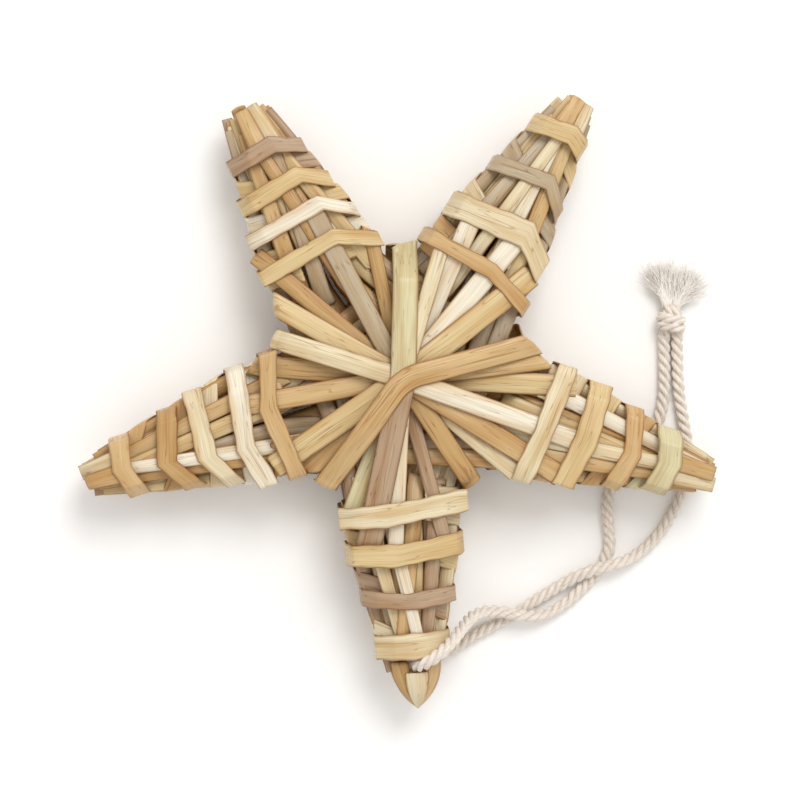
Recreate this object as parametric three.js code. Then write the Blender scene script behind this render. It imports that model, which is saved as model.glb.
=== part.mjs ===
// Straw star: a puffy five-pointed star plaited from flattened straw, with a loop of cotton twine.
// Millimetres, +Z up. The star lies on its back; all shapes are worked out around its own centre,
// with z = 0 in its middle plane, and moved at the end so that it stands on z = 0 above the origin.
//
// It is built the way it is made: ten bundles of straw run from tip to tip, five on each face;
// flat straws are then drawn across the centre one over another, and short straws are folded
// round each arm as bands. Every layer is laid on a height field of what is already there.

import * as THREE from "three";

// ---------------------------------------------------------------- driving dimensions (mm, degrees)
const TIP_BEARINGS = [-90, -18, 54, 126, 198];   // bottom, right, upper right, upper left, left
const TIP_REACHES = [48.7, 54.8, 53.8, 50.4, 54.0]; // where the straws of each arm are cut
const TIP_LEANS = [2.8, 0, 2.5, -5.5, 0];        // sideways drift of each tip, counter-clockwise
const ARM_NAMES = ["bottom", "right", "upper_right", "upper_left", "left"];
const LEAN_START = 18;                           // the arms run true up to here
const NOTCH_RADIUS = 17.8;                       // inner corner between two arms, straw only
const BACK_DEPTH = 8.3;                          // middle plane above the resting bands

// outer size of an arm, bands included: distance from centre, half width, half height at the
// ridge, half height at the folded side
const ARM_PROFILE = [
  [14.4, 11.0, 7.0, 3.2],
  [21, 10.5, 7.5, 2.8],
  [28, 9.6, 6.9, 2.6],
  [36, 7.6, 5.7, 2.3],
  [44, 5.8, 4.5, 1.9],
  [50, 4.1, 3.5, 1.7],
  [55, 2.7, 2.3, 1.2],
];

const STRAW = 0.34;                              // thickness of a flattened straw, both walls
const LAY_GAP = 0.07;                            // air between two straws that touch
const BAND_STRAW = 0.4;
const BAND_GAP = 0.1;
const BUNDLE_INSET = 0.6;                        // bands and air outside the bundles
const BUNDLE_WIDTH = 8.5;                        // three straws side by side across the middle
const BUNDLE_SPLIT = 0.12;                       // half the gap between two bundles in one arm
const STRAW_GROOVE = 0.45;                       // depth of the grooves between the three straws
const CROSS_LOW = [0.12, 1.95];                  // bottom and top of a bundle that passes under
const CROSS_HIGH = [2.1, 4.1];                   // and of one that passes over

// loop hole near the bottom tip
const HOLE_FROM = 46.3;
const HOLE_HALF_WIDTH = 1.25;
const HOLE_TOP = 1.3;

// flat straws across the centre, lowest first: bearings of the two ends, width
const FRONT_STRIPS = [
  [175, -3, 3.6],
  [102, -75, 2.4],
  [66, -110, 3.3],
  [140, -40, 3.0],
  [190, 7, 3.4],
  [118, -60, 3.5],
  [50, -135, 3.6],
  [150, -32, 3.6],
  [38, -145, 4.0],
  [73, -92, 2.6],
  [163, -20, 3.4],
  [88, -101, 4.2],
  [-125, 14, 3.8],
];
const BACK_STRIPS = [
  [0, -170, 3.6],
  [72, -98, 3.6],
  [144, -42, 3.6],
  [36, -134, 3.6],
  [108, -62, 3.6],
  [180, -26, 3.6],
  [90, -80, 3.8],
  [18, -152, 3.8],
];
const TUCK_LIMIT = 15.5;                         // ends closer to an arm's axis go down that arm
const TUCK_REACH = 24.5;
const FOLD_REACH = 7;                            // half length of the bend in a bent straw

// bands round each arm, from the centre outwards: place and offset of the front crease, width,
// and how far the band's counter-clockwise and clockwise sides lie from the crease along the arm
const BANDS = [
  [[22, -3, 3.9, -2.2, 0], [28.9, -1.4, 3.7, -1.2, -0.6], [36.6, -0.4, 2.8, -0.6, -1.0], [44, 0, 4.2, -0.2, 0]],
  [[24.7, -1.2, 3.4, 0.7, -0.9], [31.8, -0.7, 3.9, 0, -1.3], [39.9, -0.4, 3.1, -1.6, -1.5],
    [46.2, 0, 4.2, -1.3, -0.9]],
  [[22.4, -2, 2.6, -0.6, -2.4], [30.4, -3.8, 4.5, -2.0, -3.6], [39.6, -2.6, 2.8, -2.0, -3.6],
    [48, -1.6, 3.4, -1.4, -1.4]],
  [[25.4, -3.5, 2.8, -0.8, -3.6], [31.2, -4, 2.6, -0.6, -3.6], [36.8, -3, 3.0, -0.8, -3.0],
    [43, -1.4, 2.8, -0.6, -2.4]],
  [[22.1, -2, 3.0, -1.2, -2.6], [27.5, 3, 3.3, -1.6, -2.2], [33.9, 2.6, 3.3, -3.0, -0.9],
    [40.4, 1.4, 3.5, -3.2, -2.6], [47.6, 0, 3.4, -1.4, -1.0]],
];
const RESTING_FLAT = 1.4;                        // half width of a first band's flat back ridge
const CREASE_FLAT = 0.5;                         // half width of every other ridge

const TWINE = 2.0;
const TWINE_SIDES = 8;

const degrees = Math.PI / 180;

// ------------------------------------------------------------------------------ plane geometry
const polar = (radius, bearing) =>
  new THREE.Vector2(radius * Math.cos(bearing * degrees), radius * Math.sin(bearing * degrees));

const across = (direction) => new THREE.Vector2(-direction.y, direction.x);

const blend = (from, to, t) => from + (to - from) * t;

// row of ARM_PROFILE at any distance from the centre
function armProfile(reach) {
  let i = 1;
  while (i < ARM_PROFILE.length - 1 && ARM_PROFILE[i][0] < reach) i++;
  const [low, high] = [ARM_PROFILE[i - 1], ARM_PROFILE[i]];
  const t = (reach - low[0]) / (high[0] - low[0]);
  const [, half, ridge, side] = low.map((value, column) => blend(value, high[column], t));
  return { half, ridge, side };
}

// frame of an arm at a distance from the centre: point on the axis, direction along and across
function armFrame(arm, reach) {
  const along = polar(1, TIP_BEARINGS[arm]);
  const sideways = across(along);
  const run = Math.max(reach - LEAN_START, 0);
  const slope = TIP_LEANS[arm] / (54 - LEAN_START);
  const centre = along.clone().multiplyScalar(reach).addScaledVector(sideways, run * slope);
  const direction = along.clone();
  if (run > 0) direction.addScaledVector(sideways, slope).normalize();
  return { centre, along: direction, across: across(direction) };
}

function armPoint(arm, reach, offset) {
  const frame = armFrame(arm, reach);
  return frame.centre.clone().addScaledVector(frame.across, offset);
}

// ------------------------------------------------------------------------------ closed solids
function signedVolume(position, index) {
  const [a, b, c] = [new THREE.Vector3(), new THREE.Vector3(), new THREE.Vector3()];
  let volume = 0;
  for (let i = 0; i < index.length; i += 3) {
    a.fromArray(position, 3 * index[i]);
    b.fromArray(position, 3 * index[i + 1]);
    c.fromArray(position, 3 * index[i + 2]);
    volume += a.dot(b.cross(c)) / 6;
  }
  return volume;
}

// one closed body through rings of equally many points; a loop joins the last ring to the first
function loft(rings, loop = false) {
  const count = rings[0].length;
  const position = rings.flat(2);
  const index = [];
  const spans = loop ? rings.length : rings.length - 1;
  for (let i = 0; i < spans; i++) {
    const next = (i + 1) % rings.length;
    for (let j = 0; j < count; j++) {
      const k = (j + 1) % count;
      index.push(i * count + j, i * count + k, next * count + k);
      index.push(i * count + j, next * count + k, next * count + j);
    }
  }
  if (!loop) {
    const last = (rings.length - 1) * count;
    for (let j = 1; j < count - 1; j++) {
      index.push(0, j + 1, j);
      index.push(last, last + j, last + j + 1);
    }
  }
  if (signedVolume(position, index) < 0) index.reverse();
  const geometry = new THREE.BufferGeometry();
  geometry.setAttribute("position", new THREE.Float32BufferAttribute(position, 3));
  geometry.setIndex(index);
  return geometry;
}

const onFace = (rings, face) => rings.map((ring) => ring.map(([x, y, z]) => [x, y, face * z]));

// ------------------------------------------------------------------------------ height field
// height of the top of everything laid so far, on a square grid; empty cells hold -Infinity
class HeightField {
  constructor(half = 64, cell = 0.4) {
    this.half = half;
    this.cell = cell;
    this.count = Math.ceil((2 * half) / cell);
    this.heights = new Float64Array(this.count * this.count).fill(-Infinity);
  }

  cellAt(x, y) {
    const column = Math.floor((x + this.half) / this.cell);
    const row = Math.floor((y + this.half) / this.cell);
    return row * this.count + column;
  }

  // highest point within one cell of a place
  top(x, y) {
    const at = this.cellAt(x, y);
    let highest = -Infinity;
    for (const row of [-this.count, 0, this.count]) {
      for (const column of [-1, 0, 1]) highest = Math.max(highest, this.heights[at + row + column]);
    }
    return highest;
  }

  // lay a solid: its triangles are sampled more finely than the grid
  lay(geometry, face) {
    const position = geometry.getAttribute("position");
    const index = geometry.getIndex().array;
    const [a, b, c] = [new THREE.Vector3(), new THREE.Vector3(), new THREE.Vector3()];
    for (let i = 0; i < index.length; i += 3) {
      [a, b, c].forEach((corner, j) => corner.fromBufferAttribute(position, index[i + j]));
      const longest = Math.max(a.distanceTo(b), b.distanceTo(c), c.distanceTo(a));
      const steps = Math.ceil(longest / (0.8 * this.cell));
      for (let u = 0; u <= steps; u++) {
        for (let v = 0; v <= steps - u; v++) this.mark(a, b, c, u / steps, v / steps, face);
      }
    }
  }

  mark(a, b, c, u, v, face) {
    const w = 1 - u - v;
    const at = this.cellAt(a.x * w + b.x * u + c.x * v, a.y * w + b.y * u + c.y * v);
    const height = face * (a.z * w + b.z * u + c.z * v);
    this.heights[at] = Math.max(this.heights[at], height);
  }
}

// ------------------------------------------------------------------------------ straw bundles
// section of three straws side by side from the arm's edge to its axis
function bundleSection(outer, inner, topOuter, topInner, bottom) {
  const point = (t, height) => {
    const place = outer.clone().lerp(inner, t);
    return [place.x, place.y, height];
  };
  const groove = Math.min(STRAW_GROOVE, 0.1 * outer.distanceTo(inner));
  const top = (t, drop) => point(t, blend(topOuter, topInner, t) - drop);
  return [
    point(0, bottom),
    top(0, groove),
    top(1 / 6, 0),
    top(1 / 3, groove),
    top(1 / 2, 0),
    top(2 / 3, groove),
    top(5 / 6, 0),
    top(1, groove),
    point(1, bottom),
  ];
}

// bundle inside an arm; the straws across the centre need room under the first bands
function armSection(arm, side, reach, holed) {
  const { half, ridge, side: edge } = armProfile(reach);
  const strips = Math.max(0, 1.5 - 0.16 * Math.max(reach - 21, 0));
  const folds = Math.max(0, 1.0 - 0.14 * Math.max(reach - 21, 0));
  const gap = holed ? HOLE_HALF_WIDTH : BUNDLE_SPLIT;
  const topInner = holed ? HOLE_TOP : ridge - BUNDLE_INSET - strips;
  const topOuter = holed ? HOLE_TOP : edge - 0.3;
  const width = Math.max(half - BUNDLE_INSET - folds, gap + 0.7);
  const outer = armPoint(arm, reach, side * width);
  const inner = armPoint(arm, reach, side * gap);
  return bundleSection(outer, inner, topOuter, topInner, CROSS_LOW[0]);
}

function armSections(arm, side, crossing) {
  const reach = TIP_REACHES[arm];
  const holed = arm === 0;
  const sections = [armSection(arm, side, reach, holed)];
  const stations = holed ? [HOLE_FROM, HOLE_FROM - 0.4, 40, 33, 27, 21] : [47, 40, 33, 27, 21];
  stations.forEach((station, i) => sections.push(armSection(arm, side, station, holed && i === 0)));
  const { half } = armProfile(18);
  const outer = armPoint(arm, 18, side * (half - 1.3));
  const inner = armPoint(arm, 18, side * 0.8);
  sections.push(bundleSection(outer, inner, crossing[1], crossing[1], crossing[0]));
  return sections;
}

// middle of the line from notch to notch, under its first neighbour and over its second
function middleSections(line) {
  const start = polar(NOTCH_RADIUS, TIP_BEARINGS[line] + 36);
  const end = polar(NOTCH_RADIUS, TIP_BEARINGS[line] + 108);
  const along = end.clone().sub(start);
  const length = along.length();
  along.normalize();
  const inward = across(along);
  const overlap = BUNDLE_WIDTH / Math.sin(72 * degrees) + 0.2;
  const section = (distance, crossing) => {
    const outer = start.clone().addScaledVector(along, distance);
    const inner = outer.clone().addScaledVector(inward, BUNDLE_WIDTH);
    return bundleSection(outer, inner, crossing[1], crossing[1], crossing[0]);
  };
  return [
    section(1.5, CROSS_LOW),
    section(overlap, CROSS_LOW),
    section(length - overlap, CROSS_HIGH),
    section(length - 1.5, CROSS_HIGH),
  ];
}

function bundle(line, face) {
  const far = (line + 2) % 5;
  const rings = [
    ...armSections(line, 1, CROSS_LOW),
    ...middleSections(line),
    ...armSections(far, -1, CROSS_HIGH).reverse(),
  ];
  return loft(onFace(rings, face));
}

// ------------------------------------------------------------------------------ straws across the centre
// plan of a straw: straight to the middle, a short bend there, straight on
class StrawPath {
  constructor(from, to) {
    this.from = from;
    this.to = to;
    this.bend = [from, to].map((end) => end.clone().normalize().multiplyScalar(FOLD_REACH));
    this.lead = from.length() - FOLD_REACH;
    this.turn = this.bend[0].distanceTo(this.bend[1]);
    this.length = this.lead + this.turn + to.length() - FOLD_REACH;
  }

  at(distance) {
    const [start, end] = this.bend;
    if (distance < this.lead) return this.straight(this.from, start, distance / this.lead);
    const beyond = distance - this.lead - this.turn;
    if (beyond > 0) return this.straight(end, this.to, beyond / (this.length - this.lead - this.turn));
    const t = (distance - this.lead) / this.turn;
    return start.clone().multiplyScalar((1 - t) * (1 - t)).addScaledVector(end, t * t);
  }

  straight(from, to, t) {
    return from.clone().multiplyScalar(1 - t).addScaledVector(to, t);
  }

  side(distance) {
    const step = 0.2;
    const direction = this.at(distance + step).sub(this.at(distance - step)).normalize();
    return across(direction);
  }

  bent() {
    return Math.abs(this.from.angleTo(this.to) - Math.PI) > 8 * degrees;
  }
}

// highest thing under the full width of a straw
function topUnder(field, path, distance, width) {
  const place = path.at(distance);
  const side = path.side(distance);
  const steps = Math.ceil(width / 0.5);
  let highest = -Infinity;
  for (let i = 0; i <= steps; i++) {
    const offset = width * (i / steps - 0.5);
    const [x, y] = [place.x + side.x * offset, place.y + side.y * offset];
    highest = Math.max(highest, field.top(x, y));
  }
  return highest;
}

// the upper hull of points [distance, height]: the line that a straw drawn tight takes
function drawnTight(points) {
  const hull = [];
  for (const point of points) {
    while (hull.length > 1) {
      const [a, b] = [hull[hull.length - 2], hull[hull.length - 1]];
      const turn = (b[0] - a[0]) * (point[1] - a[1]) - (b[1] - a[1]) * (point[0] - a[0]);
      if (turn < 0) break;
      hull.pop();
    }
    hull.push(point);
  }
  return hull;
}

function heightOn(line, distance) {
  let i = 1;
  while (i < line.length - 1 && line[i][0] < distance) i++;
  const [a, b] = [line[i - 1], line[i]];
  return blend(a[1], b[1], (distance - a[0]) / (b[0] - a[0]));
}

// an end that goes down an arm stops behind its first band; any other folds over the edge
function strawEnd(bearing) {
  const off = TIP_BEARINGS.map((tip) => Math.abs(((bearing - tip + 540) % 360) - 180));
  const nearest = Math.min(...off);
  const tucked = nearest < TUCK_LIMIT;
  const reach = tucked ? TUCK_REACH / Math.cos(nearest * degrees) : 30;
  return { point: polar(reach, bearing), tucked };
}

// where one edge of a straw leaves the star, outwards from its middle
function edgeEnd(field, path, offset, direction) {
  const middle = path.lead + path.turn / 2;
  let distance = middle + direction * 9;
  for (let i = 0; i < 70; i++, distance += direction * 0.4) {
    const place = path.at(distance).addScaledVector(path.side(distance), offset);
    if (field.top(place.x, place.y) === -Infinity) break;
  }
  return distance;
}

// the two edges of a straw's underside as lists of [distance, height], folded over at free ends
function undersideEdges(field, path, width, tucked) {
  const sides = [-width / 2, width / 2];
  const starts = sides.map((side) => (tucked[0] ? 0 : edgeEnd(field, path, side, -1)));
  const ends = sides.map((side) => (tucked[1] ? path.length : edgeEnd(field, path, side, 1)));
  const points = [];
  for (let d = Math.min(...starts); d < Math.max(...ends) + 0.5; d += 0.5) {
    points.push([d, topUnder(field, path, d, width + 0.5)]);
  }
  let line = drawnTight(points.filter((point) => point[1] > -Infinity));
  if (path.bent()) line = withBend(line, path);
  line = line.map(([distance, height]) => [distance, height + LAY_GAP]);
  const [first, last] = [Math.max(...starts) + 0.5, Math.min(...ends) - 0.5];
  const inner = line.filter((point) => point[0] > first && point[0] < last);
  // past the shorter edge the straw runs on straight, so its cut end lies in one plane
  const straight = [[first, heightOn(line, first)], ...inner, [last, heightOn(line, last)]];
  return sides.map((_, i) => {
    const place = (distance) => [distance, heightOn(straight, distance)];
    const [start, end] = [place(starts[i]), place(ends[i])];
    const edge = [start, ...inner, end];
    if (!tucked[0]) edge.unshift(...foldOver(start, -1));
    if (!tucked[1]) edge.push(...foldOver(end, 1).reverse());
    return edge;
  });
}

// extra stations where the plan of the straw bends
function withBend(line, path) {
  const extra = [0, 0.2, 0.4, 0.6, 0.8, 1].map((t) => path.lead + t * path.turn);
  const stations = [...line.map((point) => point[0]), ...extra].sort((a, b) => a - b);
  const apart = stations.filter((distance, i) => i === 0 || distance - stations[i - 1] > 0.05);
  return apart.map((distance) => [distance, heightOn(line, distance)]);
}

function foldOver([distance, height], direction) {
  const corner = distance + direction * 0.3;
  return [[corner + direction * 0.25, 0.35], [corner, height - 0.1]];
}

// offset of the underside line by the straw's thickness, mitred at its corners
function mitred(line, thickness) {
  const normals = line.slice(1).map((point, i) => {
    const [du, dz] = [point[0] - line[i][0], point[1] - line[i][1]];
    const length = Math.hypot(du, dz);
    return [-dz / length, du / length];
  });
  return line.map(([distance, height], i) => {
    const before = normals[Math.max(i - 1, 0)];
    const after = normals[Math.min(i, normals.length - 1)];
    const sum = [before[0] + after[0], before[1] + after[1]];
    const scale = (2 * thickness) / (sum[0] ** 2 + sum[1] ** 2);
    return [distance + sum[0] * scale, height + sum[1] * scale];
  });
}

function strip(field, [from, to, width], face) {
  const ends = [strawEnd(from), strawEnd(to)];
  const path = new StrawPath(ends[0].point, ends[1].point);
  const under = undersideEdges(field, path, width, ends.map((end) => end.tucked));
  const over = under.map((edge) => mitred(edge, STRAW));
  const corner = ([distance, height], offset) => {
    const place = path.at(distance).addScaledVector(path.side(distance), offset);
    return [place.x, place.y, height];
  };
  const rings = under[0].map((_, i) => [
    corner(under[0][i], -width / 2),
    corner(under[1][i], width / 2),
    corner(over[1][i], width / 2),
    corner(over[0][i], -width / 2),
  ]);
  const geometry = loft(onFace(rings, face));
  field.lay(geometry, face);
  return geometry;
}

// ------------------------------------------------------------------------------ bands round the arms
function convexHull(points) {
  const sorted = [...points].sort((a, b) => a[0] - b[0] || a[1] - b[1]);
  const half = (list) => {
    const chain = [];
    for (const p of list) {
      while (chain.length > 1) {
        const [a, b] = chain.slice(-2);
        if ((b[0] - a[0]) * (p[1] - a[1]) - (b[1] - a[1]) * (p[0] - a[0]) > 1e-9) break;
        chain.pop();
      }
      chain.push(p);
    }
    return chain.slice(0, -1);
  };
  return [...half(sorted), ...half(sorted.reverse())];
}

// drop corners that stick out less than a hair, pushing nothing inwards by more than that
function withoutSlightCorners(polygon, tolerance) {
  let kept = polygon;
  for (let i = 0; i < kept.length && kept.length > 6; ) {
    const [a, b, c] = [-1, 0, 1].map((step) => kept[(i + step + kept.length) % kept.length]);
    const [dx, dy] = [c[0] - a[0], c[1] - a[1]];
    const out = Math.abs(dx * (b[1] - a[1]) - dy * (b[0] - a[0])) / Math.hypot(dx, dy);
    if (out < tolerance) kept = kept.filter((_, j) => j !== i);
    else i++;
  }
  return kept;
}

function offsetPolygon(polygon, distance) {
  const count = polygon.length;
  const normals = polygon.map(([x, y], i) => {
    const [nx, ny] = polygon[(i + 1) % count];
    const length = Math.hypot(nx - x, ny - y);
    return [(ny - y) / length, (x - nx) / length];
  });
  return polygon.map(([x, y], i) => {
    const [before, after] = [normals[(i + count - 1) % count], normals[i]];
    const sum = [before[0] + after[0], before[1] + after[1]];
    const scale = (2 * distance) / (sum[0] ** 2 + sum[1] ** 2);
    return [x + sum[0] * scale, y + sum[1] * scale];
  });
}

// everything that a band has to go round, seen along the arm
function bandContents(fields, arm, reach, width, slant) {
  const { half } = armProfile(reach);
  const contents = [];
  for (let along = -width / 2 - 0.2; along <= width / 2 + 0.2; along += 0.4) {
    for (let offset = -half - 3.4; offset <= half + 3.4; offset += 0.4) {
      const frame = armFrame(arm, reach);
      const place = frame.centre.clone().addScaledVector(frame.across, offset);
      place.addScaledVector(frame.along, along + slant(offset));
      const [front, back] = fields.map((field) => field.top(place.x, place.y));
      if (front > -Infinity) contents.push([offset, front]);
      if (back > -Infinity) contents.push([offset, -back]);
    }
  }
  return contents;
}

function band(fields, arm, [reach, crease, width, ahead, behind], first) {
  const { half, ridge, side } = armProfile(reach);
  const slant = (offset) => {
    const share = Math.min((offset - crease) / (half - crease), 1.3);
    return offset > crease ? ahead * share : behind * Math.min((crease - offset) / (crease + half), 1.3);
  };
  const wall = BAND_STRAW + BAND_GAP;
  const back = first ? BACK_DEPTH - wall : ridge - wall + 0.2;
  const flat = first ? RESTING_FLAT : CREASE_FLAT;
  const design = [
    [crease - CREASE_FLAT, ridge - wall],
    [crease + CREASE_FLAT, ridge - wall],
    [half - wall, side],
    [half - wall, -side],
    [flat, -back],
    [-flat, -back],
    [wall - half, -side],
    [wall - half, side],
  ];
  const contents = bandContents(fields, arm, reach, width, slant);
  const hull = withoutSlightCorners(convexHull([...design, ...contents]), 0.06);
  const inside = offsetPolygon(hull, BAND_GAP);
  const outside = offsetPolygon(hull, wall);
  const frame = armFrame(arm, reach);
  const point = ([offset, height], along) => {
    const place = frame.centre.clone().addScaledVector(frame.across, offset);
    place.addScaledVector(frame.along, along + slant(offset));
    return [place.x, place.y, height];
  };
  const rings = hull.map((_, i) => [
    point(inside[i], -width / 2),
    point(inside[i], width / 2),
    point(outside[i], width / 2),
    point(outside[i], -width / 2),
  ]);
  return loft(rings, true);
}

// folded straws that close the bottom tip
function tipCap() {
  const section = (reach, scale) => {
    const { half, ridge, side } = armProfile(reach);
    const outline = [[half, side], [0, ridge], [-half, side], [-half, -side], [0, -ridge], [half, -side]];
    return outline.map(([offset, height]) => {
      const place = armPoint(0, reach, offset * scale);
      return [place.x, place.y, height * scale];
    });
  };
  return loft([section(48.9, 1), section(50.2, 1), section(52.6, 0.72), section(54.4, 0.25)]);
}

// ------------------------------------------------------------------------------ twine
// route of the loop, from the knot through the hole in the tip and back; heights above the floor
const LOOP_ROUTE = [
  [44.7, 6.4, 1.3], [44.8, 3.4, 1.05], [44.9, -0.5, 1.05], [44.8, -4.4, 1.05],
  [44.1, -7.6, 1.05], [42.2, -10.9, 1.05], [39.6, -14.2, 1.05], [37.0, -17.0, 1.05],
  [35.6, -19.4, 1.05], [35.2, -22.4, 1.05], [35.6, -25.8, 1.05], [35.9, -29.0, 1.05],
  [34.6, -32.2, 1.05], [32.0, -35.2, 1.05], [29.0, -38.0, 1.1], [26.0, -39.8, 1.6],
  [23.2, -40.4, 2.6], [20.4, -40.1, 3.3], [17.6, -39.5, 3.4], [14.8, -39.2, 4.1],
  [12.4, -39.8, 6.0], [10.6, -41.2, 8.8], [8.9, -42.9, 11.5], [7.0, -44.6, 13.3],
  [4.9, -46.2, 13.7], [3.2, -47.2, 12.5], [2.4, -47.5, 9.6], [2.4, -47.5, 7.0],
  [3.6, -47.5, 4.5], [5.9, -47.2, 3.2], [8.6, -46.1, 2.2], [11.2, -44.8, 1.3],
  [14.0, -43.2, 1.05], [17.2, -41.6, 1.05], [20.4, -39.9, 1.05], [23.6, -37.8, 1.05],
  [26.8, -35.8, 1.15], [29.8, -34.0, 1.9], [32.4, -32.8, 2.9], [34.9, -32.1, 3.3],
  [37.4, -31.5, 2.8], [40.0, -30.5, 1.7], [42.6, -28.6, 1.1], [44.8, -26.0, 1.05],
  [46.6, -22.9, 1.05], [48.2, -19.4, 1.05], [49.0, -15.6, 1.05], [48.8, -11.8, 1.05],
  [48.1, -8.0, 1.05], [47.4, -4.0, 1.05], [47.1, -0.2, 1.05], [47.0, 3.2, 1.05],
  [46.9, 6.4, 1.3],
];
const KNOT_CENTRE = [45.8, 9.0, 2.3];
const KNOT_SIZE = [5.4, 4.4, 4.4];
// frayed tails: centre line and radius
const LEFT_TAIL = [[45.2, 11.7, 1.9, 1.0], [44.6, 13.6, 1.6, 1.2], [43.9, 15.8, 1.5, 1.4], [43.1, 18.4, 1.3, 1.1]];
const RIGHT_TAIL = [[47.0, 11.7, 1.9, 1.0], [48.3, 13.4, 1.6, 1.2], [50.0, 15.0, 1.5, 1.4], [52.0, 16.6, 1.3, 1.1]];

const aboveFloor = ([x, y, z]) => new THREE.Vector3(x, y, z - BACK_DEPTH);

function twineLoop() {
  const curve = new THREE.CatmullRomCurve3(LOOP_ROUTE.map(aboveFloor), false, "centripetal");
  const section = new THREE.Shape();
  for (let i = 0; i < TWINE_SIDES; i++) {
    const corner = polar(TWINE / 2, (360 / TWINE_SIDES) * (i + 0.5));
    if (i === 0) section.moveTo(corner.x, corner.y);
    else section.lineTo(corner.x, corner.y);
  }
  section.closePath();
  return new THREE.ExtrudeGeometry(section, { steps: 76, extrudePath: curve, curveSegments: 1 });
}

function knot() {
  const geometry = new THREE.SphereGeometry(0.5, 14, 9);
  geometry.scale(...KNOT_SIZE);
  const centre = aboveFloor(KNOT_CENTRE);
  geometry.translate(centre.x, centre.y, centre.z);
  return geometry;
}

function tail(stations) {
  const rings = stations.map(([x, y, z, radius], i) => {
    const before = stations[Math.max(i - 1, 0)];
    const after = stations[Math.min(i + 1, stations.length - 1)];
    const along = new THREE.Vector2(after[0] - before[0], after[1] - before[1]).normalize();
    const sideways = across(along);
    return Array.from({ length: TWINE_SIDES }, (_, j) => {
      const round = polar(radius, (360 / TWINE_SIDES) * (j + 0.5));
      return [x + sideways.x * round.x, y + sideways.y * round.x, z - BACK_DEPTH + round.y];
    });
  });
  return loft(rings);
}

// ------------------------------------------------------------------------------ assembly
const COLOURS = {
  cream: "#e3d3ae",
  tan: "#d0ab74",
  amber: "#c99f62",
  brown: "#b79b7f",
  white: "#eee5d0",
  twine: "#d9cfc4",
};

const materials = Object.fromEntries(Object.entries(COLOURS).map(([name, colour]) => {
  const roughness = name === "twine" ? 0.95 : 0.55;
  return [name, new THREE.MeshStandardMaterial({ color: colour, roughness, metalness: 0 })];
}));

function named(name, geometry, colour) {
  geometry.computeVertexNormals();
  const mesh = new THREE.Mesh(geometry, materials[colour]);
  mesh.name = name;
  return mesh;
}

function buildFace(face, field, label, strips, colours) {
  const meshes = [];
  for (let line = 0; line < 5; line++) {
    const geometry = bundle(line, face);
    field.lay(geometry, face);
    meshes.push(named(`${label}_straws_${line + 1}`, geometry, colours[line % colours.length]));
  }
  strips.forEach((values, i) => {
    const colour = colours[(3 * i + 1) % colours.length];
    meshes.push(named(`${label}_strip_${i + 1}`, strip(field, values, face), colour));
  });
  return meshes;
}

function buildBands(fields) {
  const tones = ["cream", "tan", "brown", "white", "amber"];
  return BANDS.flatMap((stations, arm) => stations.map((station, i) => {
    const geometry = band(fields, arm, station, i === 0);
    return named(`band_${ARM_NAMES[arm]}_${i + 1}`, geometry, tones[(2 * arm + i) % tones.length]);
  }));
}

function buildStar() {
  const fields = [new HeightField(), new HeightField()];
  return [
    ...buildFace(1, fields[0], "front", FRONT_STRIPS, ["cream", "tan", "white", "amber", "brown"]),
    ...buildFace(-1, fields[1], "back", BACK_STRIPS, ["tan", "cream", "amber"]),
    ...buildBands(fields),
    named("tip_cap", tipCap(), "amber"),
  ];
}

const star = new THREE.Group();
star.add(...buildStar());

// centre of the star's own box, on which the origin lies
const box = new THREE.Box3().setFromObject(star);
const middle = box.getCenter(new THREE.Vector3());

star.add(
  named("twine_loop", twineLoop(), "twine"),
  named("twine_knot", knot(), "twine"),
  named("twine_tail_left", tail(LEFT_TAIL), "twine"),
  named("twine_tail_right", tail(RIGHT_TAIL), "twine"),
);
star.position.set(-middle.x, -middle.y, BACK_DEPTH);

const root = new THREE.Group();
root.add(star);

export default root;
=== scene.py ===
import math

import bpy
import numpy as np
from mathutils import Matrix, Vector


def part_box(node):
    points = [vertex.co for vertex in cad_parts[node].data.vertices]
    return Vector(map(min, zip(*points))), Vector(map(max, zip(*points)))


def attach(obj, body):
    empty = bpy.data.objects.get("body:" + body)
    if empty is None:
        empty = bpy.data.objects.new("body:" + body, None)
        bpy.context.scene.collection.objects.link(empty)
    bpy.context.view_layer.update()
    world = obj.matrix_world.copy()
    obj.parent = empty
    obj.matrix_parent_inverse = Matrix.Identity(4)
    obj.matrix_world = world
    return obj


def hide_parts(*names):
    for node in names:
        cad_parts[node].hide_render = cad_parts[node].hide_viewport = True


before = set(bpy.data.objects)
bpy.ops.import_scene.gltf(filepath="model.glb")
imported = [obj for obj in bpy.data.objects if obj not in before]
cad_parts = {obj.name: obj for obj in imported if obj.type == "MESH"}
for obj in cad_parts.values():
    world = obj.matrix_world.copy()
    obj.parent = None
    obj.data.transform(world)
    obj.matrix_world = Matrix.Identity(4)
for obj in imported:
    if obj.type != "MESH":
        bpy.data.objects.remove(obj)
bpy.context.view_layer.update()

MM = 0.001

# ------------------------------------------------------------------------------ camera
# A long lens nearly straight above the star, a little towards its upper left, so that the
# left-hand and upper sides of each fold are just seen. The star and its loop fill the view.

target = Vector((0.0, 0.0, 0.006))
camera = bpy.data.objects.new("camera", bpy.data.cameras.new("camera"))
camera.data.lens = 165
camera.data.sensor_width = 36
camera.location = target + Vector((-0.045, 0.032, 0.60))
away = (camera.location - target).normalized()
right = Vector((0, 1, 0)).cross(away).normalized()
camera.rotation_euler = Matrix((right, away.cross(right), away)).transposed().to_euler()
bpy.context.scene.collection.objects.link(camera)
bpy.context.scene.camera = camera

# ------------------------------------------------------------------------------ floor and light
# A white matt table and soft studio light: a broad lamp high beyond the upper arms gives soft
# shadows below each arm and a little to its left, and an even pale surround fills them.


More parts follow.
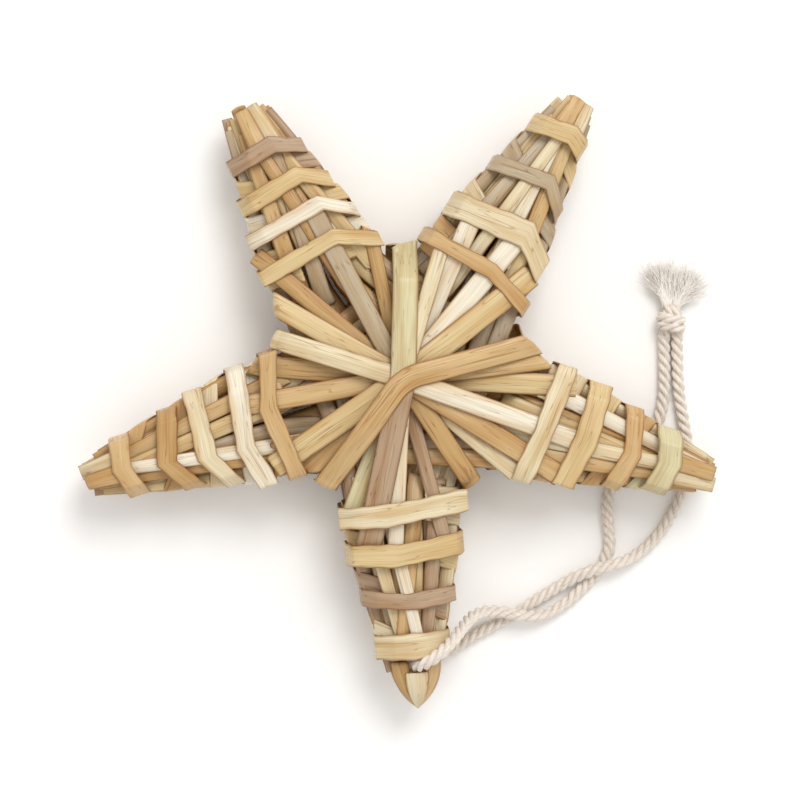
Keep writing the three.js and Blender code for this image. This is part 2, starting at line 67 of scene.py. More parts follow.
def linear(colour):
    """An sRGB hex colour as linear red, green and blue."""
    parts = [int(colour[i:i + 2], 16) / 255 for i in (1, 3, 5)]
    return [c / 12.92 if c <= 0.04045 else ((c + 0.055) / 1.055) ** 2.4 for c in parts]


def node(tree, kind, settings=None, **links):
    """Adds a node; settings are its properties, links its inputs as values or sockets."""
    made = tree.nodes.new(kind)
    for name, value in (settings or {}).items():
        setattr(made, name, value)
    for name, value in links.items():
        key = int(name[1:]) if name[0] == "i" and name[1:].isdigit() else name.replace("_", " ")
        if isinstance(value, bpy.types.NodeSocket):
            tree.links.new(value, made.inputs[key])
        else:
            made.inputs[key].default_value = value
    return made


def material(name):
    """An empty node material with its tree and its shader."""
    made = bpy.data.materials.new(name)
    made.use_nodes = True
    return made, made.node_tree, made.node_tree.nodes["Principled BSDF"]


floor_mesh = bpy.data.meshes.new("floor")
floor_mesh.from_pydata([(-2, -2, 0), (2, -2, 0), (2, 2, 0), (-2, 2, 0)], [], [(0, 1, 2, 3)])
floor = bpy.data.objects.new("floor", floor_mesh)
bpy.context.scene.collection.objects.link(floor)
paper, tree, shader = material("matt_white_paper")
shader.inputs["Base Color"].default_value = (*linear("#fbfaf8"), 1)
shader.inputs["Roughness"].default_value = 0.9
floor_mesh.materials.append(paper)

world = bpy.data.worlds.new("surround")
world.use_nodes = True
world.node_tree.nodes["Background"].inputs["Color"].default_value = (1.0, 0.99, 0.98, 1)
world.node_tree.nodes["Background"].inputs["Strength"].default_value = 0.84
bpy.context.scene.world = world
bpy.context.scene.view_settings.view_transform = "Standard"


def lamp(name, size, power, place):
    """A square area lamp that faces the star."""
    light = bpy.data.lights.new(name, "AREA")
    light.size = size
    light.energy = power
    made = bpy.data.objects.new(name, light)
    made.location = place
    made.rotation_mode = "QUATERNION"
    made.rotation_quaternion = (target - made.location).to_track_quat("-Z", "Y")
    bpy.context.scene.collection.objects.link(made)


lamp("key_lamp", 0.5, 5.4, Vector((0.2, 0.6, 0.85)))

# ------------------------------------------------------------------------------ twine loop
# Undyed cotton twine, 2 mm thick, three plies laid right-handed. It passes through a gap in the
# straws just inside the bottom tip, crosses itself twice and is knotted beside the right arm.

BACK_DEPTH = 8.3     # from the star's middle plane down to the floor
KNOT_CENTRE = np.array([45.8, 9.0, 2.3])
TWINE = 2.0
PLIES = 3
LAY_LENGTH = 5.0     # of one whole turn of the plies
PLY_TURNING = 0.27   # from the twine's middle to a ply's, as a share of the twine's diameter
PLY_SWELL = 1.16     # plies press on each other, so each is a little wider than its share
CUT_TAPER = 1.2      # length over which a cut end thins out
# the way of the twine's middle, from the knot through the bottom tip and back to the knot
LOOP_ROUTE = np.array([
    [44.7, 6.4, 1.3], [44.8, 3.4, 1.05], [44.9, -0.5, 1.05], [44.8, -4.4, 1.05],
    [44.1, -7.6, 1.05], [42.2, -10.9, 1.05], [39.6, -14.2, 1.05], [37.0, -17.0, 1.05],
    [35.6, -19.4, 1.05], [35.2, -22.4, 1.05], [35.6, -25.8, 1.05], [35.9, -29.0, 1.05],
    [34.6, -32.2, 1.05], [32.0, -35.2, 1.05], [29.0, -38.0, 1.1], [26.0, -39.8, 1.6],
    [23.2, -40.4, 2.6], [20.4, -40.1, 3.3], [17.6, -39.5, 3.4], [14.8, -39.2, 4.1],
    [12.4, -39.8, 6.0], [10.6, -41.2, 8.8], [8.9, -42.9, 11.5], [7.0, -44.6, 13.3],
    [4.9, -46.2, 13.7], [3.2, -47.2, 12.5], [2.4, -47.5, 9.6], [2.4, -47.5, 7.0],
    [3.6, -47.5, 4.5], [5.9, -47.2, 3.2], [8.6, -46.1, 2.2], [11.2, -44.8, 1.3],
    [14.0, -43.2, 1.05], [17.2, -41.6, 1.05], [20.4, -39.9, 1.05], [23.6, -37.8, 1.05],
    [26.8, -35.8, 1.15], [29.8, -34.0, 1.9], [32.4, -32.8, 2.9], [34.9, -32.1, 3.3],
    [37.4, -31.5, 2.8], [40.0, -30.5, 1.7], [42.6, -28.6, 1.1], [44.8, -26.0, 1.05],
    [46.6, -22.9, 1.05], [48.2, -19.4, 1.05], [49.0, -15.6, 1.05], [48.8, -11.8, 1.05],
    [48.1, -8.0, 1.05], [47.4, -4.0, 1.05], [47.1, -0.2, 1.05], [47.0, 3.2, 1.05],
    [46.9, 6.4, 1.3],
])

# the knot's place in the frame tells where the star's own middle lies
knot_low, knot_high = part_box("twine_knot")
star_centre = np.array((Vector(knot_low) + Vector(knot_high)) / 2) / MM - KNOT_CENTRE
star_centre[2] = BACK_DEPTH


def unit(vectors):
    """Vectors divided by their lengths."""
    return vectors / np.maximum(np.linalg.norm(vectors, axis=-1, keepdims=True), 1e-9)


def along(points):
    """Distance along a row of points, from its first."""
    steps = np.linalg.norm(np.diff(points, axis=0), axis=1)
    return np.concatenate([[0.0], np.cumsum(steps)])


def even(points, step):
    """The same line through evenly spaced points."""
    distance = along(points)
    places = np.linspace(0, distance[-1], max(3, int(distance[-1] / step)))
    return np.stack([np.interp(places, distance, column) for column in points.T], axis=1)


def smooth(points, reach):
    """Running mean over reach points either way; the ends stay where they are."""
    padded = np.concatenate([
        2 * points[0] - points[reach:0:-1], points, 2 * points[-1] - points[-2:-reach - 2:-1]])
    kernel = np.hanning(2 * reach + 3)[1:-1]
    kernel /= kernel.sum()
    columns = [np.convolve(column, kernel, "valid") for column in padded.T]
    return np.stack(columns, axis=1)


def frames(path):
    """Side and normal at each point of a line: the first side is level, and is turned along it."""
    tangent = unit(np.gradient(path, axis=0))
    upright = np.abs(tangent[:, 2:]) > 0.98
    side = unit(np.cross(tangent, np.where(upright, [[0.6, 0.8, 0]], [[0, 0, 1]])))
    for i in range(1, len(side)):
        carried = side[i - 1] - tangent[i] * (side[i - 1] @ tangent[i])
        side[i] = carried / np.linalg.norm(carried)
    return side, np.cross(side, tangent)


def circles(side, normal, around):
    """Unit circles across a line, one at each of its points, at the angles in around."""
    return np.cos(around)[:, None] * side[:, None] + np.sin(around)[:, None] * normal[:, None]


def grid_faces(rows, columns, loop):
    """Quads over rows of points whose columns close on themselves, and whose rows may too."""
    i = np.arange(rows if loop else rows - 1)[:, None]
    j = np.arange(columns)[None, :]
    a = i * columns + j
    b = i * columns + (j + 1) % columns
    up = ((i + 1) % rows) * columns
    return np.stack([a, b, up + (j + 1) % columns, up + j], axis=-1).reshape(-1, 4)


def outward(points, quads):
    """Quads turned so that the closed body they make has a positive volume."""
    a, b, c, d = (points[quads[:, k]] for k in range(4))
    volume = np.einsum("ij,ij->", a, np.cross(b, c) + np.cross(c, d))
    return quads if volume > 0 else quads[:, ::-1]


def build(name, bodies, finish):
    """One object from closed bodies, each a grid of rings with its surface attributes."""
    points, quads, caps, values = [], [], [], {}
    first = 0
    for body in bodies:
        rows, columns = body["points"].shape[:2]
        loop = body.get("loop", False)
        flat = body["points"].reshape(-1, 3)
        made = outward(flat, grid_faces(rows, columns, loop))
        flipped = made[0, 0] != 0
        quads.append(made + first)
        if not loop:
            start, end = np.arange(columns), np.arange(columns) + (rows - 1) * columns
            both = (start, end[::-1]) if flipped else (start[::-1], end)
            caps += [ring + first for ring in both]
        points.append(flat)
        for key, value in body["values"].items():
            values.setdefault(key, []).append(value.reshape(len(flat), -1))
        first += len(flat)
    mesh = bpy.data.meshes.new(name)
    placed = (np.concatenate(points) + star_centre) * MM
    faces = [tuple(q) for q in np.concatenate(quads).tolist()] + [tuple(c.tolist()) for c in caps]
    mesh.from_pydata(placed.tolist(), [], faces)
    mesh.polygons.foreach_set("use_smooth", [True] * len(mesh.polygons))
    for key, value in values.items():
        joined = np.concatenate(value)
        kind, field = {1: ("FLOAT", "value"), 3: ("FLOAT_VECTOR", "vector")}[joined.shape[1]]
        mesh.attributes.new(key, kind, "POINT").data.foreach_set(field, joined.ravel())
    mesh.materials.append(finish)
    made = bpy.data.objects.new(name, mesh)
    bpy.context.scene.collection.objects.link(made)
    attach(made, "root")
    return made


def twisted(path, diameter, ends=(1.0, 1.0)):
    """Plies round a line: each is a round tube whose centre turns about it once a lay length.

    A ply's radius and the radius of its turning share the twine's radius, so that plies touch.
    Both shrink to a share of theirs at either end.
    """
    side, normal = frames(path)
    distance = along(path)
    turning = diameter * PLY_TURNING
    ply = diameter * 0.5 - turning
    length = distance[-1]
    taper = np.interp(distance, [0, CUT_TAPER, length - CUT_TAPER, length], [ends[0], 1, 1, ends[1]])
    around = np.linspace(0, 2 * math.pi, 10, endpoint=False)
    bodies = []
    for k in range(PLIES):
        turn = 2 * math.pi * (distance / LAY_LENGTH + k / PLIES)
        centre = path + turning * taper[:, None] * (
            np.cos(turn)[:, None] * side + np.sin(turn)[:, None] * normal)
        swell = PLY_SWELL * ply * taper[:, None, None]
        points = centre[:, None] + swell * circles(side, normal, around)
        # lengthwise, round the ply, and a place of its own in the fibre pattern
        grain = np.stack(np.broadcast_arrays(
            distance[:, None], ply * (around[None, :] + turn[:, None]), 7.0 * k), axis=-1)
        bodies.append({"points": points, "values": {"grain": grain}})
    return bodies


def cotton(name, dark, light):
    """Cotton twine: soft matt spun fibre, warm off-white, each ply finely streaked along it.

    The streaks stand for its fibres, drawn about 0.1 mm apart so that they show, and slant a
    little as the ply is spun.
    """
    made, tree, shader = material(name)
    grain = node(tree, "ShaderNodeAttribute", {"attribute_name": "grain"}).outputs["Vector"]
    slanted = node(tree, "ShaderNodeMapping", None, Vector=grain, Rotation=(0, 0, 0.5), Scale=(0.5, 9.0, 1.0))
    streak = node(tree, "ShaderNodeTexNoise", None, Vector=slanted.outputs[0], Scale=1.0, Detail=3.0)
    tone = node(tree, "ShaderNodeValToRGB", None, Fac=streak.outputs["Fac"])
    tone.color_ramp.elements[0].position = 0.3
    tone.color_ramp.elements[0].color = (*linear(dark), 1)
    tone.color_ramp.elements[1].position = 0.62
    tone.color_ramp.elements[1].color = (*linear(light), 1)
    bump = node(tree, "ShaderNodeBump", None, Height=streak.outputs["Fac"], Strength=0.6, Distance=0.00008)
    tree.links.new(tone.outputs[0], shader.inputs["Base Color"])
    tree.links.new(bump.outputs[0], shader.inputs["Normal"])
    shader.inputs["Roughness"].default_value = 0.9
    shader.inputs["Sheen Weight"].default_value = 0.35
    shader.inputs["Sheen Roughness"].default_value = 0.5
    return made


twine_cotton = cotton("cotton_twine", "#cdc0b1", "#efe6db")
floor_level = np.array([0, 0, BACK_DEPTH])
loop_line = smooth(even(LOOP_ROUTE - floor_level, step=0.4), reach=4)
loop = build("twine", twisted(loop_line, TWINE), twine_cotton)
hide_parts("twine_loop")

# ------------------------------------------------------------------------------ knot and frayed tails
# Both ends of the twine are tied together in one overhand knot and cut; past the knot the plies
# have come undone into two soft tufts of cotton fibre.

KNOT_TURNS = (-0.35, 1.95)             # from where to where the turns go round both ends
KNOT_WIDE, KNOT_HIGH = 1.62, 1.18      # half axes of those turns
KNOT_START, KNOT_RISE = -1.55, 0.19    # place of the turns from the knot's middle, rise per radian
KNOT_STRAND, CORE_STRAND = 1.75, 1.9   # the twine is drawn thinner in the knot
TAIL_FIBRES = 260
FIBRE_POINTS = 9
TAIL_FAN = 3.0                         # about how far a tuft spreads to either side

knot_turns = np.linspace(*KNOT_TURNS, 90) * 2 * math.pi
knot_line = np.stack([
    KNOT_CENTRE[0] + KNOT_WIDE * np.cos(knot_turns),
    KNOT_CENTRE[1] + KNOT_START + KNOT_RISE * knot_turns,
    KNOT_CENTRE[2] - BACK_DEPTH + KNOT_HIGH * np.sin(knot_turns),
], axis=1)
# the two ends run side by side through the turns
core_lines = np.array([
    [[44.8, 5.9, 1.25], [45.0, 7.6, 1.9], [45.3, 9.5, 2.3], [45.4, 11.2, 1.9]],
    [[46.9, 5.9, 1.25], [46.7, 7.6, 1.9], [46.4, 9.5, 2.3], [46.3, 11.2, 1.9]],
]) - floor_level
knot = build("knot", [
    *twisted(knot_line, KNOT_STRAND, ends=(0.5, 0.5)),
    *(ply for line in core_lines for ply in twisted(smooth(even(line, step=0.3), reach=2), CORE_STRAND)),
], twine_cotton)
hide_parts("twine_knot")


def tuft(start, end, rng):
    """Fibres from one root to a ragged fan: each is a thin tube along a slightly curled line.

    A fibre's line is the straight way to its own end, plus a bow that is zero at the root, plus a
    slow wave upwards. Its root is drawn from the ply's width, and every point of it strays a
    little, more towards its end. It thins to a point and never goes below the floor.
    """
    t = np.linspace(0, 1, FIBRE_POINTS)[:, None]
    reach = end - start
    sideways = unit(np.array([-reach[1], reach[0], 0.0])) * TAIL_FAN
    around = np.linspace(0, 2 * math.pi, 4, endpoint=False)
    bodies = []
    for k in range(TAIL_FIBRES):
        fan = rng.normal(0, 0.5)
        length = rng.uniform(0.55, 1.08)
        bow = rng.normal(0, 0.22)
        lift = rng.uniform(-0.8, 1.0)
        wave = 0.2 * np.sin(7 * t[:, 0] + k) * t[:, 0]
        line = start + reach * length * t + sideways * (fan * t ** 1.4 + bow * t * (1 - t) * 2)
        line[:, 2] = np.maximum(line[:, 2] + (lift * t[:, 0] ** 1.2 + wave), 0.15 - BACK_DEPTH)
        root, stray = rng.normal(0, 0.28, 2), rng.normal(0, 0.12, (FIBRE_POINTS, 2))
        line[:, :2] += root * (1 - t) + stray * t
        radius = rng.uniform(0.05, 0.09) * np.interp(t[:, 0], [0, 0.8, 1], [1.3, 1, 0.4])
        points = line[:, None] + radius[:, None, None] * circles(*frames(line), around)
        grain = np.stack(np.broadcast_arrays(t * 5, around[None, :] * 0.1, float(k)), axis=-1)
        bodies.append({"points": points, "values": {"grain": grain}})
    return bodies


rng = np.random.default_rng(7)
# The tufts' cotton is a lighter copy of the twine's: painted light, which makes up for the shade that the
# close loose fibres cast on each other.
loose_cotton_painted_light = cotton("loose_cotton_painted_light", "#e9e0d6", "#faf5ee")
for name, root, end in [
    ("left", [45.3, 11.0, 2.0], [43.6, 18.2, 1.8]),
    ("right", [46.4, 11.0, 2.0], [49.8, 16.9, 1.8]),
]:
    fibres = tuft(np.array(root) - floor_level, np.array(end) - floor_level, rng)
    tail = build(f"frayed_tail_{name}", fibres, loose_cotton_painted_light)
    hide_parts(f"twine_tail_{name}")

# ------------------------------------------------------------------------------ bundles of straw
# Flattened wheat straws run from tip to tip, three side by side, five bundles on each face. Every
# bundle passes under its first neighbour and over its second, and two bundles fill each arm.
# More straws lie slantwise over them down each arm, others fill its inside and show at its tip.

# the arms in order: bottom, right, upper right, upper left, left; places in mm, turns in degrees
TIP_BEARINGS = [-90, -18, 54, 126, 198]
TIP_REACHES = [48.7, 54.8, 53.8, 50.4, 54.0]
TIP_LEANS = [2.8, 0, 2.5, -5.5, 0]
LEAN_START, LEAN_END = 18, 54
NOTCH_RADIUS = 17.8
BUNDLE_WIDTH = 8.5
CROSS_LOW, CROSS_HIGH = 1.95, 4.1      # top of a bundle that passes under another, and over
# half width, ridge height and side height of an arm, by distance from the centre
PROFILE = np.array([
    [14.4, 11.0, 7.0, 3.2],
    [21, 10.5, 7.5, 2.8],
    [28, 9.6, 6.9, 2.6],
    [36, 7.6, 5.7, 2.3],
    [44, 5.8, 4.5, 1.9],
    [50, 4.1, 3.5, 1.7],
    [55, 2.7, 2.3, 1.2],
])
TONES = {
    "cream": "#dfd0ac", "white": "#e9dfc8", "green": "#cfc49a", "yellow": "#d5bc89",
    "tan": "#cdac78", "amber": "#c09b63", "brown": "#b4987a", "grey": "#bba98c",
}
# places across a straw, closer together near its edges
ACROSS = np.array([-1, -0.94, -0.75, -0.4, 0, 0.4, 0.75, 0.94, 1])
MIDDLE = len(ACROSS) // 2
CREASES = [-0.4, 0, 0.4]               # where a straw's crease may lie across it
EDGE_ROOM = 0.6                        # from a bundle's outer straw to the arm's own edge and side
CROWN_ROOM = 1.4                       # from a bundle's top to the arm's ridge, for what is laid over it
FAN_ROOM = 1.5                         # more room there near the centre, for the fan
FOLD_ROOM = 0.7                        # for straws folded over an arm's edges near the notches
FOLD_REACH = 21                        # where that room and the fan's begin to shrink
SLANT_ROOM = 1.4                       # from a slanting straw's middle to the arm's edge
AXIS_GAP = 0.12                        # from an arm's axis to the innermost straw
LEVEL_START = 1.5                      # a bundle lies level from this far inside its notch
STRAWS = 3                             # in a bundle
STEP = 0.5                             # along a straw
EMPTY = -50.0                          # height where nothing lies


def profile(reach):
    """Half width, ridge and side height of an arm at distances from the centre."""
    return [np.interp(reach, PROFILE[:, 0], PROFILE[:, k]) for k in (1, 2, 3)]


def polar(radius, bearing):
    """Points at distances and bearings, in degrees, from the star's centre."""
    angle = np.radians(bearing)
    return np.stack([radius * np.cos(angle), radius * np.sin(angle)], axis=-1)


def crosswise(direction):
    """Directions turned a quarter turn counter-clockwise."""
    return np.stack([-direction[..., 1], direction[..., 0]], axis=-1)


def arm_point(arm, reach, offset):
    """Points of an arm at distances along its leaning axis and offsets across it."""
    reach, offset = np.broadcast_arrays(np.asarray(reach, float), offset)
    out = polar(1.0, TIP_BEARINGS[arm])
    slope = TIP_LEANS[arm] / (LEAN_END - LEAN_START)
    run = np.maximum(reach - LEAN_START, 0)[..., None]
    direction = np.where(run > 0, unit(out + slope * crosswise(out)), out)
    return reach[..., None] * out + slope * run * crosswise(out) + offset[..., None] * crosswise(direction)


class Bed:
    """Height of everything laid so far on one face, on a square grid in millimetres."""

    def __init__(self, half=64.0, cell=0.4):
        self.half, self.cell = half, cell
        self.count = int(2 * half / cell)
        self.height = np.full((self.count, self.count), EMPTY)

    def cells(self, points):
        """Column and row of the cell at each point."""
        places = ((points[..., :2] + self.half) / self.cell).astype(int)
        return np.moveaxis(np.clip(places, 1, self.count - 2), -1, 0)

    def lay(self, points):
        """Raises the cells under points to the points' heights."""
        column, row = self.cells(points)
        np.maximum.at(self.height, (row, column), points[..., 2])

    def top(self, points):
        """Greatest height in the nine cells round each point."""
        column, row = self.cells(points)
        near = [self.height[row + i, column + j] for i in (-1, 0, 1) for j in (-1, 0, 1)]
        return np.max(near, axis=0)


def straw_body(middle, thickness, tone, seed, wide, power=4.0, fold=0.0, lift=0.0, loop=False):
    """A closed straw round the grid of its middle surface, rows along it and columns across.

    Half its thickness stands on either side along the surface normal, times
    (1 - |t|^power)^(1/2) where t runs from -1 to 1 across it. A flattened straw keeps a crease:
    both its skins rise evenly from its edges to lift at t = fold. Its surface knows its place in
    the fibre pattern, in millimetres along and across a straw of the given width, its tone, and
    how near an edge it is.
    """
    rows = len(middle)
    t = ACROSS
    run = np.gradient(middle, axis=0)
    if loop:
        run = np.roll(middle, -1, axis=0) - np.roll(middle, 1, axis=0)
    normal = unit(np.cross(run, np.gradient(middle, t, axis=1)))
    half = 0.5 * np.broadcast_to(thickness, (rows,))[:, None] * np.sqrt(1 - np.abs(t) ** power)
    rise = lift * np.minimum((1 + t) / (1 + fold), (1 - t) / (1 - fold))
    top = middle + normal * (rise + half)[..., None]
    under = (middle + normal * (rise - half)[..., None])[:, -2:0:-1]
    distance = along(middle[:, MIDDLE])
    place = np.concatenate([t, t[-2:0:-1]])
    across = np.broadcast_to(0.5 * wide * place, (rows, len(place)))
    # each seed reads a stretch of its own in the fibre pattern
    grain = np.stack([
        np.broadcast_to(distance[:, None] + 37.0 * seed, across.shape),
        across + 11.0 * seed,
        np.full(across.shape, float(seed)),
    ], axis=-1)
    # a straw of two tones turns from one to the other within a fourteenth of its length
    tones = tone if isinstance(tone, tuple) else (tone, tone)
    first, second = (np.array(linear(TONES[name])) for name in tones)
    share = np.clip((distance / distance[-1] - 0.5) * 14 + 0.5, 0, 1)[:, None]
    shade = (first * (1 - share) + second * share)[:, None] * np.ones((1, len(place), 1))
    edge = np.broadcast_to(np.abs(place), across.shape)
    return {"points": np.concatenate([top, under], axis=1), "loop": loop,
            "values": {"grain": grain, "tone": shade, "edge": edge}}


def wheat_straw():
    """Dry wheat straw: waxy satin skin over fine lengthwise fibres, warm gold to cream.

    The fibres are about 0.25 mm apart, drawn a little coarser so that they show. Split lines run
    along a straw, its edges carry painted shade, darker and more orange where each turns away and
    meets its neighbours, and its tone drifts along its length.
    """
    made, tree, shader = material("wheat_straw")
    multiply = {"data_type": "RGBA", "blend_type": "MULTIPLY"}
    grain = node(tree, "ShaderNodeAttribute", {"attribute_name": "grain"}).outputs["Vector"]
    tone = node(tree, "ShaderNodeAttribute", {"attribute_name": "tone"}).outputs["Vector"]
    edge = node(tree, "ShaderNodeAttribute", {"attribute_name": "edge"}).outputs["Fac"]
    strands = []
    # fibres, the drift of tone and split lines: changes in a millimetre along and across a straw
    for lengthwise, apart, detail in ((0.12, 4.6, 3.0), (0.06, 0.4, 2.0), (0.05, 1.1, 1.0)):
        slid = node(tree, "ShaderNodeMapping", None, Vector=grain, Scale=(lengthwise, apart, 1.0))
        noise = node(tree, "ShaderNodeTexNoise", None, Vector=slid.outputs[0], Scale=1.0, Detail=detail)
        strands.append(noise.outputs["Fac"])
    fibre, drift, split = strands
    drifting = node(tree, "ShaderNodeMapRange", None, i0=drift, i1=0.42, i2=0.66, i3=0.0, i4=0.7).outputs[0]
    darker = node(tree, "ShaderNodeMix", multiply,
                  i0=drifting, i6=tone, i7=(*linear("#e3c79a"), 1)).outputs[2]
    light = node(tree, "ShaderNodeMapRange", None, i0=fibre, i1=0.3, i2=0.7, i3=0.84, i4=1.07).outputs[0]
    streaked = node(tree, "ShaderNodeVectorMath", {"operation": "SCALE"}, i0=darker, Scale=light).outputs[0]
    # painted shade: folded makes each straw darker and more orange towards its edges, where it turns away and
    # meets its neighbours
    folded = node(tree, "ShaderNodeMapRange", None, i0=edge, i1=0.8, i2=1.0, i3=0.0, i4=0.8).outputs[0]
    edge_shaded = node(tree, "ShaderNodeMix", multiply,
                 i0=folded, i6=streaked, i7=(*linear("#b88c58"), 1)).outputs[2]
    level = node(tree, "ShaderNodeMath", {"operation": "SUBTRACT"}, i0=split, i1=0.5).outputs[0]
    near = node(tree, "ShaderNodeMath", {"operation": "ABSOLUTE"}, i0=level).outputs[0]
    crack = node(tree, "ShaderNodeMapRange", None, i0=near, i1=0.0, i2=0.012, i3=0.6, i4=0.0).outputs[0]
    lined = node(tree, "ShaderNodeMix", multiply, i0=crack, i6=edge_shaded, i7=(*linear("#b08a5c"), 1)).outputs[2]
    height = node(tree, "ShaderNodeMath", {"operation": "SUBTRACT"}, i0=fibre, i1=crack).outputs[0]
    bump = node(tree, "ShaderNodeBump", None, Height=height, Strength=0.6, Distance=0.00007)
    gloss = node(tree, "ShaderNodeMapRange", None, i0=fibre, i1=0.3, i2=0.7, i3=0.46, i4=0.3)
    tree.links.new(lined, shader.inputs["Base Color"])
    tree.links.new(bump.outputs[0], shader.inputs["Normal"])
    tree.links.new(gloss.outputs[0], shader.inputs["Roughness"])
    shader.inputs["IOR"].default_value = 1.48
    return made


straw_skin = wheat_straw()


def own_grain(rng):
    """A seed that gives a straw its own place in the fibre pattern."""
    return rng.integers(1, 900)


def fold_room(reach):
    """Room left at an arm's edges for straws that fold over them: all of it up to FOLD_REACH.

    Past that it shrinks by a tenth of the distance.
    """
    return np.clip(FOLD_ROOM - 0.1 * (reach - FOLD_REACH), 0, FOLD_ROOM)


def bundle_lines(line):
    """Rows across one bundle from tip to tip: outer edge, inner edge, and the tops at both.

    It comes down one arm's half, passes the arm in between along its two notches, and goes up
    half of the arm after that. Its tops follow the arms' profiles and rise from CROSS_LOW to
    CROSS_HIGH between the two places where it crosses its neighbours.
    """
    rows = []
    for arm, side, crossing in ((line, 1, CROSS_LOW), ((line + 2) % 5, -1, CROSS_HIGH)):
        reach = np.array([TIP_REACHES[arm], 47, 40, 33, 27, 21.5, 18])
        half, ridge, side_height = profile(reach)
        fan_room = np.clip(FAN_ROOM - 0.16 * (reach - FOLD_REACH), 0, FAN_ROOM)
        width = np.maximum(half - EDGE_ROOM - fold_room(reach), 1.0)
        gap = np.full(len(reach), AXIS_GAP)
        inner_top, outer_top = ridge - CROWN_ROOM - fan_room, side_height - EDGE_ROOM
        if arm == 0:
            # at the loop the bundles part and are flattened, so that the twine goes through
            gap[:2], inner_top[:2], outer_top[:2] = 1.3, 1.2, 1.2
        width[-1], gap[-1], inner_top[-1], outer_top[-1] = half[-1] - 1.3, 0.8, crossing, crossing
        part = np.column_stack([
            arm_point(arm, reach, side * width), arm_point(arm, reach, side * gap), outer_top, inner_top])
        rows.append(part if side > 0 else part[::-1])
    start, end = (polar(NOTCH_RADIUS, TIP_BEARINGS[line] + turn) for turn in (36, 108))
    length = np.linalg.norm(end - start)
    inward = crosswise((end - start) / length)
    overlap = BUNDLE_WIDTH / math.sin(math.radians(72)) + 0.2
    levels = [(LEVEL_START, CROSS_LOW), (overlap, CROSS_LOW),
              (length - overlap, CROSS_HIGH), (length - LEVEL_START, CROSS_HIGH)]
    middle = []
    for distance, top in levels:
        outer = start + (end - start) * distance / length
        middle.append([*outer, *(outer + BUNDLE_WIDTH * inward), top, top])
    return np.concatenate([rows[0], np.array(middle), rows[1]])


def ribbon(plan, width, height):
    """Middle surface of a flat straw on a plan line, at heights given in the middle or at both edges.

    Each row lies square to the line, and its height runs evenly from one edge to the other.
    """
    side = crosswise(unit(np.gradient(plan, axis=0)))
    half = 0.5 * np.broadcast_to(width, len(plan))[:, None, None]
    flat = plan[:, None] + half * ACROSS[:, None] * side[:, None]
    edges = np.broadcast_to(np.atleast_2d(height).T, (len(plan), 2 if np.ndim(height) == 2 else 1))
    level = edges[:, :1] + (edges[:, -1:] - edges[:, :1]) * (ACROSS + 1) / 2
    return np.concatenate([flat, level[..., None]], axis=2)


def whole_straws(line, face, bed, rng):
    """The straws of one bundle: each follows its own share of the bundle's rows, rounded by a mean.

    Each is a little wider than its share and is cut at a length of its own. It wanders sideways,
    swells and tilts by slow sines of its own, as straws in a handful do, and its thickness is a
    share of its width up to the thickest.
    """
    wander, swell, lean, thickest = 0.3, 0.08, 0.22, 1.05
    rows = bundle_lines(line)
    bodies = []
    for k in range(STRAWS):
        share = (k + 0.5) / STRAWS
        centre = rows[:, 0:2] * (1 - share) + rows[:, 2:4] * share
        top = rows[:, 4] * (1 - share) + rows[:, 5] * share
        wide = np.linalg.norm(rows[:, 2:4] - rows[:, 0:2], axis=1) / STRAWS * 1.02
        path = np.column_stack([centre, top, np.maximum(wide, 1.9)])
        reach = along(path[:, :2])
        places = np.arange(0, reach[-1], STEP)
        path = smooth(np.stack([np.interp(places, reach, column) for column in path.T], axis=1), reach=6)
        path = path[int(rng.uniform(1, 8)):len(path) - int(rng.uniform(1, 8))]
        distance = along(path[:, :2])
        phase = rng.uniform(0, 6.3, 3)
        inside = np.sin(math.pi * distance / distance[-1])
        side = crosswise(unit(np.gradient(path[:, :2], axis=0)))
        plan = path[:, :2] + (wander * np.sin(distance / 9 + phase[0]) * inside)[:, None] * side
        wide = path[:, 3] * (0.96 + swell * np.sin(distance / 7 + phase[1]))
        thick = np.minimum(thickest, 0.42 * wide)
        tilt = lean * np.sin(distance / 12 + phase[2])
        height = path[:, 2] - thick / 2
        surface = ribbon(plan, wide, np.stack([height - tilt, height + tilt]))
        bed.lay(surface + np.array([0, 0, 0.5]) * thick[:, None, None])
        tone = tuple(rng.choice(["tan", "amber", "yellow", "cream", "brown", "grey"], 2))
        bodies.append(straw_body(
            surface * [1, 1, face], thick, tone, own_grain(rng), wide=2.6,
            power=3.0, fold=rng.choice(CREASES), lift=0.16 * face))
    return bodies


def drawn_tight(distance, height):
    """Height of a line pulled tight over heights: at each place the highest of all chords over it."""
    i, j, k = np.ogrid[:len(distance), :len(distance), :len(distance)]
    with np.errstate(divide="ignore", invalid="ignore"):
        share = (distance[k] - distance[i]) / (distance[j] - distance[i])
        chord = height[i] + (height[j] - height[i]) * share
    chord = np.where((i < j) & (k >= i) & (k <= j), chord, -np.inf)
    return np.maximum(chord.max(axis=(0, 1)), height)


